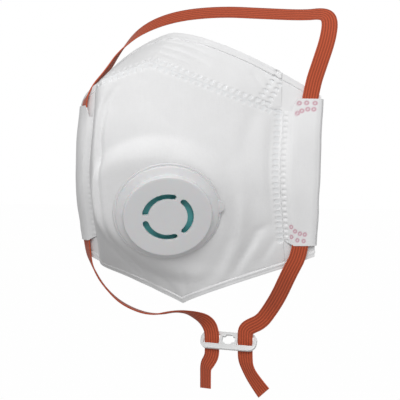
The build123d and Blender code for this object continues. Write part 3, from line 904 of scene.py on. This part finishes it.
# ------------------------------------------------------------------ operators
class MASK_OT_stage(bpy.types.Operator):
    """Sets up the camera, the pale floor and the soft light"""
    bl_idname = "dust_mask.stage"
    bl_label = "Stage"

    def execute(self, context):
        values = context.scene.mask_stage
        clear_selection()
        turn = values.azimuth
        away = Vector((math.sin(turn), -math.cos(turn), 0.0))
        bpy.ops.object.camera_add(location=away * values.distance, rotation=(math.pi / 2, 0.0, turn))
        camera = context.object
        camera.name = "mask_camera"
        camera.data.lens = values.lens
        camera.data.sensor_width = SENSOR_WIDTH
        camera.data.shift_x, camera.data.shift_y = CAMERA_SHIFT
        camera.data.clip_start = 0.01
        context.scene.camera = camera

        bpy.ops.mesh.primitive_plane_add(size=FLOOR_SIZE, location=(0.0, 0.0, FLOOR_Z))
        floor = context.object
        floor.name = "floor"
        floor.data.materials.append(self.floor_finish(values.floor_colour))

        for name, (place, size), power in (
            ("key_lamp", KEY_LAMP, values.key_power), ("fill_lamp", FILL_LAMP, values.fill_power),
        ):
            aim = (LAMP_AIM - Vector(place)).to_track_quat("-Z", "Y").to_euler()
            bpy.ops.object.light_add(type="AREA", location=place, rotation=aim)
            lamp = context.object
            lamp.name = name
            lamp.data.size = size
            lamp.data.energy = power
        self.light_sky(context.scene, values.sky)
        context.scene.view_settings.view_transform = "Standard"
        return {"FINISHED"}

    def floor_finish(self, colour):
        """A pale floor that shows white to the camera where no shadow falls."""
        material, tree, shader = start_material("pale_floor", 0.9, 0.1)
        set_inputs(tree, shader, {"Base Color": rgba(colour)})
        glow = add_node(tree, "Emission", {"Strength": 1.0})
        mix = add_node(tree, "MixShader", {
            0: seen_directly(tree, FLOOR_SHOWN), 1: shader.outputs[0], 2: glow.outputs[0],
        })
        set_inputs(tree, tree.nodes["Material Output"], {"Surface": mix.outputs[0]})
        return material

    def light_sky(self, scene, strength):
        """Even light from all round, white where the camera or a reflection sees it."""
        world = bpy.data.worlds.new("studio")
        scene.world = world
        world.use_nodes = True
        tree = world.node_tree
        tree.nodes.clear()
        even, white = [
            add_node(tree, "Background", {"Color": (1.0, 1.0, 1.0, 1.0), "Strength": power}).outputs[0]
            for power in (strength, 1.0)
        ]
        mix = add_node(tree, "MixShader", {0: seen_directly(tree, 1.0), 1: even, 2: white})
        add_node(tree, "OutputWorld", {"Surface": mix.outputs[0]})


def spline_points(name, controls):
    """Points along a smooth curve that has the given control points."""
    curve = bpy.data.curves.new(name, "CURVE")
    curve.dimensions = "3D"
    curve.resolution_u = 14
    spline = curve.splines.new("NURBS")
    spline.points.add(len(controls) - 1)
    for point, place in zip(spline.points, controls):
        point.co = (*place, 1.0)
    spline.order_u = 3
    spline.use_endpoint_u = True
    route = bpy.data.objects.new(name, curve)
    bpy.context.scene.collection.objects.link(route)
    bpy.context.view_layer.update()
    depsgraph = bpy.context.evaluated_depsgraph_get()
    mesh = bpy.data.meshes.new_from_object(route.evaluated_get(depsgraph))
    points = [vertex.co.copy() for vertex in mesh.vertices]
    bpy.data.meshes.remove(mesh)
    bpy.data.objects.remove(route)
    bpy.data.curves.remove(curve)
    return points


def band_outline(ribs):
    """Outline of the elastic: places across it, from 0 to 1, and how thick it is there."""
    steps = ribs * 6
    upper = []
    for i in range(steps + 1):
        share = i / steps
        swell = 0.80 + 0.20 * abs(math.cos(math.pi * ribs * share + math.pi / 2))
        upper.append((share, 0.35 if i in (0, steps) else swell))
    return upper + [(share, -swell) for share, swell in reversed(upper)]


def band_mesh(name, route, width, thickness, ribs):
    """A ribbed band along a route, its flat side turned as the route says."""
    path = spline_points(name + "_route", [[part * MM for part in stop[:3]] for stop in route])
    turns = spline_points(name + "_turn", [(stop[3], stop[4], 0.0) for stop in route])
    ring = band_outline(ribs)
    build = bmesh.new()
    layer = build.loops.layers.uv.new("band")
    loops, lengths, travelled = [], [], 0.0
    for index, place in enumerate(path):
        before = path[max(0, index - 1)]
        after = path[min(len(path) - 1, index + 1)]
        travelled += (place - before).length if index else 0.0
        lengths.append(travelled)
        way = (after - before).normalized()
        facing, lean = math.radians(turns[index].x), math.radians(turns[index].y)
        level = math.cos(lean)
        flat = Vector((math.sin(facing) * level, -math.cos(facing) * level, math.sin(lean)))
        across = way.cross(flat).normalized()
        normal = across.cross(way).normalized()
        loops.append([
            build.verts.new(place + across * (share - 0.5) * width + normal * swell * thickness / 2)
            for share, swell in ring
        ])

    def add_face(corners):
        face = build.faces.new([loops[k][m] for k, m in corners])
        for loop, (k, m) in zip(face.loops, corners):
            loop[layer].uv = (ring[m][0], lengths[k] / MM)

    count, last = len(ring), len(path) - 1
    for index in range(last):
        for i in range(count):
            j = (i + 1) % count
            add_face([(index, i), (index, j), (index + 1, j), (index + 1, i)])
    add_face([(0, m) for m in reversed(range(count))])
    add_face([(last, m) for m in range(count)])
    piece = piece_from(name, build)
    smooth(piece, 60.0)
    return piece, path, travelled


class MASK_OT_straps(bpy.types.Operator):
    """Lays the three elastic straps along their routes"""
    bl_idname = "dust_mask.straps"
    bl_label = "Straps"

    def execute(self, context):
        values = context.scene.mask_straps
        elastic = elastic_material("ribbed_elastic", values.strap_colour, values.ribs)
        straps = [
            ("upper_band", "upper_strap", UPPER_ROUTE, "object"),
            ("lower_left_band", "lower_strap_left", LOWER_LEFT_ROUTE, "bare"),
            ("lower_right_band", "lower_strap_right", LOWER_RIGHT_ROUTE, "bare"),
        ]
        for name, node, route, end in straps:
            piece, path, length = band_mesh(name, route, values.width, values.thickness, values.ribs)
            finish_piece(piece, elastic, "mask", node)
        return {"FINISHED"}


def moulded_copy(node, name):
    """A smooth copy of a moulded part, with its shared points merged."""
    source = frame["nodes"][node]
    piece = bpy.data.objects.new(name, source.data.copy())
    piece.matrix_world = Matrix.Identity(4)
    bpy.context.scene.collection.objects.link(piece)
    build = bmesh.new()
    build.from_mesh(piece.data)
    bmesh.ops.remove_doubles(build, verts=build.verts, dist=2e-6)
    build.to_mesh(piece.data)
    build.free()
    smooth(piece, 35.0)
    even = piece.modifiers.new("Even Shading", "WEIGHTED_NORMAL")
    even.keep_sharp = True
    even.weight = 100
    apply_all(piece)
    return piece


def outline_block(name, outline, low, high):
    """A block with the given outline, between two heights, in millimetres."""
    build = bmesh.new()
    face = build.faces.new([build.verts.new((x, y, low)) for x, y in outline])
    grown = bmesh.ops.extrude_face_region(build, geom=[face])
    top = [item for item in grown["geom"] if isinstance(item, bmesh.types.BMVert)]
    bmesh.ops.translate(build, verts=top, vec=(0.0, 0.0, high - low))
    return piece_from(name, build)


def cut_with(piece, cutter, operation="DIFFERENCE"):
    modifier = piece.modifiers.new("Cut", "BOOLEAN")
    modifier.operation = operation
    modifier.object = cutter
    modifier.solver = "EXACT"
    apply_all(piece)
    bpy.data.objects.remove(cutter)


def polar(radius, angle, centre=(0.0, 0.0)):
    """The place at a distance from a centre, its angle in degrees."""
    turn = math.radians(angle)
    return centre[0] + radius * math.cos(turn), centre[1] + radius * math.sin(turn)


def slot_outline(start, end):
    """Outline of a curved slot with round ends, its angles in degrees."""
    round_end = SLOT_WIDTH / 2 - 0.15
    inset = math.degrees(round_end / SLOT_RADIUS)
    first, last = start + inset, end - inset
    outline = [polar(SLOT_RADIUS + SLOT_WIDTH / 2, angle) for angle in spread(first, last, 28)]

    def round_off(angle, opening):
        centre = polar(SLOT_RADIUS, angle)
        return [polar(round_end, angle + step, centre) for step in spread(opening + 15, opening + 165, 8)]

    outline += round_off(last, 0)
    outline += [polar(SLOT_RADIUS - SLOT_WIDTH / 2, angle) for angle in spread(last, first, 28)]
    return outline + round_off(first, 180)


def soften(piece, width, segments=2, angle=35.0):
    edges = piece.modifiers.new("Soft Edges", "BEVEL")
    edges.width = width
    edges.segments = segments
    edges.angle_limit = math.radians(angle)
    apply_all(piece)


def finish_moulding(piece, rounding, place):
    """Softens a piece modelled in millimetres and moves its mesh to its place."""
    soften(piece, rounding)
    piece.data.transform(place)
    piece.data.transform(Matrix.Scale(MM, 4))
    piece.data.update()
    smooth(piece, 40.0)
    return piece


def housing():
    """The round housing: a turned wall, three curved slots, ribs under the roof and a lug."""
    clear_selection()
    build = bmesh.new()
    ring = [build.verts.new((radius, 0.0, height)) for radius, height in HOUSING_PROFILE]
    edges = [build.edges.new(pair) for pair in zip(ring, ring[1:])]
    bmesh.ops.spin(build, geom=ring + edges, cent=(0, 0, 0), axis=(0, 0, 1),
                   angle=math.radians(360.0), steps=120, use_duplicate=False)
    bmesh.ops.remove_doubles(build, verts=build.verts, dist=1e-4)
    piece = piece_from("valve_housing", build)
    bridges = [BRIDGE_ANGLE + 360.0 / SLOT_COUNT * index for index in range(SLOT_COUNT)]
    for bridge in bridges:
        slot = slot_outline(bridge + BRIDGE_HALF, bridge + 360.0 / SLOT_COUNT - BRIDGE_HALF)
        cut_with(piece, outline_block("slot_cutter", slot, 4.0, 7.0))
    half_long, half_wide = RIB_HALF
    for bridge in bridges:
        turn = math.radians(bridge)
        rib = []
        for sx, sy in ((-1, -1), (1, -1), (1, 1), (-1, 1)):
            x, y = SLOT_RADIUS + sx * half_long, sy * half_wide
            rib.append((x * math.cos(turn) - y * math.sin(turn), x * math.sin(turn) + y * math.cos(turn)))
        cut_with(piece, outline_block("rib", rib, *RIB_HEIGHTS), "UNION")
    middle = polar(LUG_MIDDLE, LUG_ANGLE)
    lug = outline_block("lug", [polar(LUG_RADIUS, a, middle) for a in range(0, 360, 12)], *LUG_HEIGHTS)
    cut_with(lug, outline_block("bore", [polar(LUG_BORE, a) for a in range(0, 360, 4)], 0.0, 4.0))
    cut_with(piece, lug, "UNION")
    return finish_moulding(piece, 0.22, VALVE_FRAME)


def rounded_plate(length, height, corner):
    outline = []
    for sx, sy, first in ((1, 1, 0), (-1, 1, 90), (-1, -1, 180), (1, -1, 270)):
        centre = (sx * (length / 2 - corner), sy * (height / 2 - corner))
        outline += [polar(corner, angle, centre) for angle in spread(first, first + 90, 8)]
    return outline


def adjuster():
    """The flat plate with two strap slots and a window; its lower bar is the wider one."""
    plate = rounded_plate(*ADJUSTER_SIZES)
    piece = outline_block("adjuster_plate", plate, -ADJUSTER_HALF_THICK, ADJUSTER_HALF_THICK)
    openings = [[(middle + x, y) for x, y in ADJUSTER_SLOT] for middle in (-ADJUSTER_SLOT_X, ADJUSTER_SLOT_X)]
    for opening in (*openings, ADJUSTER_WINDOW):
        cut_with(piece, outline_block("opening_cutter", opening, -2.0, 2.0))
    return finish_moulding(piece, 0.3, ADJUSTER_PLACE)


class MASK_OT_valve(bpy.types.Operator):
    """Builds the valve's housing, seat, clamp ring and flap, and the adjuster"""
    bl_idname = "dust_mask.valve"
    bl_label = "Valve and Adjuster"

    def execute(self, context):
        values = context.scene.mask_valve
        plastic = plastic_material("valve_plastic", values.plastic_colour, values.roughness, 0.1)
        rubber = plastic_material("flap_rubber", values.flap_colour, 0.5)
        clear = plastic_material("adjuster_plastic", values.adjuster_colour, 0.35)
        parts = [
            ("valve_cover", "valve_housing", plastic, "mask", "valve_plastic"),
            ("valve_seat", "valve_seat_plate", plastic, "mask", "valve_plastic"),
            ("valve_ring", "valve_clamp_ring", plastic, "mask", "valve_plastic"),
            ("valve_diaphragm", "valve_flap", rubber, "diaphragm", "diaphragm_rubber"),
            ("strap_adjuster", "adjuster_plate", clear, "adjuster", "adjuster_plastic"),
        ]
        own = {"valve_cover": housing, "strap_adjuster": adjuster}
        for node, name, material, body, slot in parts:
            piece = own[node]() if node in own else moulded_copy(node, name)
            finish_piece(piece, material, body, node)
        return {"FINISHED"}


def add_plies(values, word, node, edges, surface, grids, reliefs, behind, factor=1.0):
    """The three plies of a panel; the outer one has the finer grid, the welds and the hems."""
    plies = [
        ("cover", "cloth", "outer_fabric", grids[0], reliefs[0], 1.0),
        ("filter", "web", "filter_fabric", grids[1], reliefs[1], factor),
        ("liner", "cloth", "liner_fabric", grids[1], reliefs[1], factor),
    ]
    for (ply, stuff, slot, (columns, rows), relief, stretch), back in zip(plies, behind):
        name = f"{word}_{ply}_{stuff}"
        piece = panel(name, columns, rows, *edges, surface, relief, back)
        if surface is front_y:
            cut_round_hole(piece)
        thickness = getattr(values, ply + "_thickness") * stretch / MM
        material = fabric_material(name, getattr(values, ply + "_colour"))
        clothe(piece, thickness, material, f"{node}_{ply}")


class MASK_OT_front(bpy.types.Operator):
    """Shapes the three plies of the front panel"""
    bl_idname = "dust_mask.front"
    bl_label = "Front Panel"

    def execute(self, context):
        edge = WELD_X - JOIN_GAP
        fine = (
            graded([(-edge, -45.5, 10), (-45.5, 45.5, 104), (45.5, edge, 10)]),
            graded([(0.0, 0.045, 10), (0.045, 0.93, 118), (0.93, 1.0, 16)]),
        )
        coarse = (spread(-edge, edge, 60), spread(0, 1, 60))
        add_plies(
            context.scene.mask_cloth, "front", "front", (hem_z, seam_z), front_y, (fine, coarse),
            (front_relief, inner_front_relief), (0.0, FILTER_BEHIND, LINER_BEHIND),
        )
        return {"FINISHED"}


class MASK_OT_nose(bpy.types.Operator):
    """Shapes the three plies of the nose panel"""
    bl_idname = "dust_mask.nose"
    bl_label = "Nose Panel"

    def execute(self, context):
        edge = WELD_X - JOIN_GAP
        fine = (graded([(-edge, -38.0, 26), (-38.0, 38.0, 110), (38.0, edge, 26)]), spread(0, 1, 52))
        coarse = (spread(-edge, edge, 60), spread(0, 1, 20))
        add_plies(
            context.scene.mask_cloth, "nose", "top", (above_seam, rim_z), top_y, (fine, coarse),
            (nose_relief, inner_nose_relief), (0.0, NOSE_FILTER_BEHIND, NOSE_LINER_BEHIND), TOP_FACTOR,
        )
        return {"FINISHED"}


def tab_top(x):
    return min(TAB_TOP, max(TAB_TOP_LOW, TAB_TOP - 2.0 * (57.6 - abs(x))))


def tab_bottom(x):
    return max(TAB_BOTTOM, TAB_BOTTOM + 0.5 * (56.0 - abs(x)))


def tab_relief(x, z, side):
    """Weld dots on the foot, tack rings on the right tab's raised part, and the cloth's sag."""
    dots = dot_press(x, z) if abs(x) < TAB_FOOT_END else 0.0
    dots *= 1.0 if side > 0 else 0.45
    ring = 0.0
    for ring_x, ring_z in TACK_RINGS if side > 0 else ():
        gap = abs(math.hypot(abs(x) - ring_x, z - ring_z) - RING_RADIUS)
        ring = max(ring, math.exp(-((gap / RING_WIDTH) ** 2)))
    sag = (0.3 * math.sin(z * 0.21 + 0.6) + 0.6 * slack(x, z)) * soft_step((abs(x) - 55) / 4)
    return TAB_DOT_DEPTH * dots + 0.16 * ring + sag, ring


def tab_sheet(name, side):
    """One folded tab, from its welded foot over the strap and round the outer edge."""
    columns = []
    profile = TAB_PROFILE if side > 0 else SOFT_TAB_PROFILE
    for (ax, ao), (bx, bo) in zip(profile, profile[1:]):
        count = max(1, round(math.hypot(bx - ax, bo - ao) / TAB_STEP))
        columns += [(ax + (bx - ax) * i / count, ao + (bo - ao) * i / count) for i in range(count)]
    columns.append(profile[-1])
    if side < 0:
        columns.reverse()

    def place(column, share):
        x, offset = column
        z = tab_bottom(x) + (tab_top(x) - tab_bottom(x)) * share
        depth, ring = tab_relief(x, z, side)
        ground = side_y(side * min(x, HALF_WIDTH), z)
        return (drawn_in(side * x, z), ground + offset + depth, z), ring
    return cloth(name, columns, spread(0, 1, 190), place)


class MASK_OT_sides(bpy.types.Operator):
    """Shapes the two side panels and the tabs that hold the straps"""
    bl_idname = "dust_mask.sides"
    bl_label = "Sides and Tabs"

    def execute(self, context):
        values = context.scene.mask_cloth
        side_cloth = fabric_material("side_cloth", values.cover_colour)
        tab_cloth = fabric_material("tab_cloth", values.cover_colour, stain=values.stain_colour)
        rows = graded([(0, 0.06, 12), (0.06, 0.94, 90), (0.94, 1, 12)])
        for side, word in ((-1, "left"), (1, "right")):
            columns = [x * side for x in spread(WELD_X + JOIN_GAP, HALF_WIDTH, 34)][::side]
            piece = panel(f"{word}_side_cloth", columns, rows, hem_z, rim_z, side_y, side_relief)
            clothe(piece, SIDE_THICKNESS, side_cloth, f"{word}_side_panel")
            tab = tab_sheet(f"{word}_tab_cloth", side)
            clothe(tab, values.tab_thickness / MM, tab_cloth, f"{word}_tab")
        return {"FINISHED"}


def strip(name, half, top_gap, width, behind, thickness):
    """A strip that follows the rim on the face side."""
    def place(x, share):
        z = rim_z(x) - top_gap - width * (1 - share)
        return (x, top_y(x, z) + behind, z), 0.0
    piece = cloth(name, spread(-half, half, 96), spread(0, 1, 10), place)
    solidify(piece, thickness)
    return piece


class MASK_OT_clip(bpy.types.Operator):
    """Shapes the nose wire and the foam strip behind the nose panel"""
    bl_idname = "dust_mask.clip"
    bl_label = "Nose Clip"

    def execute(self, context):
        values = context.scene.mask_clip
        wire = strip("nose_wire_strip", *WIRE_SIZES)
        smooth(wire, 50.0)
        wire_finish = plastic_material("coated_wire", values.wire_colour, 0.35)
        finish_piece(wire, wire_finish, "mask", "nose_wire")
        foam = strip("nose_foam_pad", *FOAM_SIZES)
        soften(foam, FOAM_ROUNDING * MM, segments=3, angle=50.0)
        smooth(foam, 60.0)
        finish_piece(foam, foam_material("nose_foam", values.foam_colour), "mask", "nose_foam")
        return {"FINISHED"}


class MASK_PT_panel(bpy.types.Panel):
    """Lists the mask's settings and steps"""
    bl_label = "Dust Mask"
    bl_idname = "MASK_PT_panel"
    bl_space_type = "VIEW_3D"
    bl_region_type = "UI"
    bl_category = "Dust Mask"

    def draw(self, context):
        scene = context.scene
        for group in (scene.mask_cloth, scene.mask_clip, scene.mask_valve, scene.mask_straps,
                      scene.mask_stage):
            box = self.layout.box()
            for name in group.__annotations__:
                box.prop(group, name)
        for step in STEPS:
            self.layout.operator(step.bl_idname)


SETTINGS = {
    "mask_cloth": MaskClothSettings,
    "mask_clip": MaskClipSettings,
    "mask_valve": MaskValveSettings,
    "mask_straps": MaskStrapSettings,
    "mask_stage": MaskStageSettings,
}
STEPS = (
    MASK_OT_stage, MASK_OT_valve, MASK_OT_straps, MASK_OT_front, MASK_OT_nose, MASK_OT_sides,
    MASK_OT_clip,
)


def register():
    for kind in (*SETTINGS.values(), *STEPS, MASK_PT_panel):
        bpy.utils.register_class(kind)
    for name, kind in SETTINGS.items():
        setattr(bpy.types.Scene, name, bpy.props.PointerProperty(type=kind))


def unregister():
    for name in SETTINGS:
        delattr(bpy.types.Scene, name)
    for kind in (MASK_PT_panel, *STEPS[::-1], *SETTINGS.values()):
        bpy.utils.unregister_class(kind)


def main():
    register()
    bpy.ops.dust_mask.stage()
    bpy.ops.dust_mask.valve()
    bpy.ops.dust_mask.straps()
    bpy.ops.dust_mask.front()
    bpy.ops.dust_mask.nose()
    bpy.ops.dust_mask.sides()
    bpy.ops.dust_mask.clip()


if __name__ == "__main__":
    main()
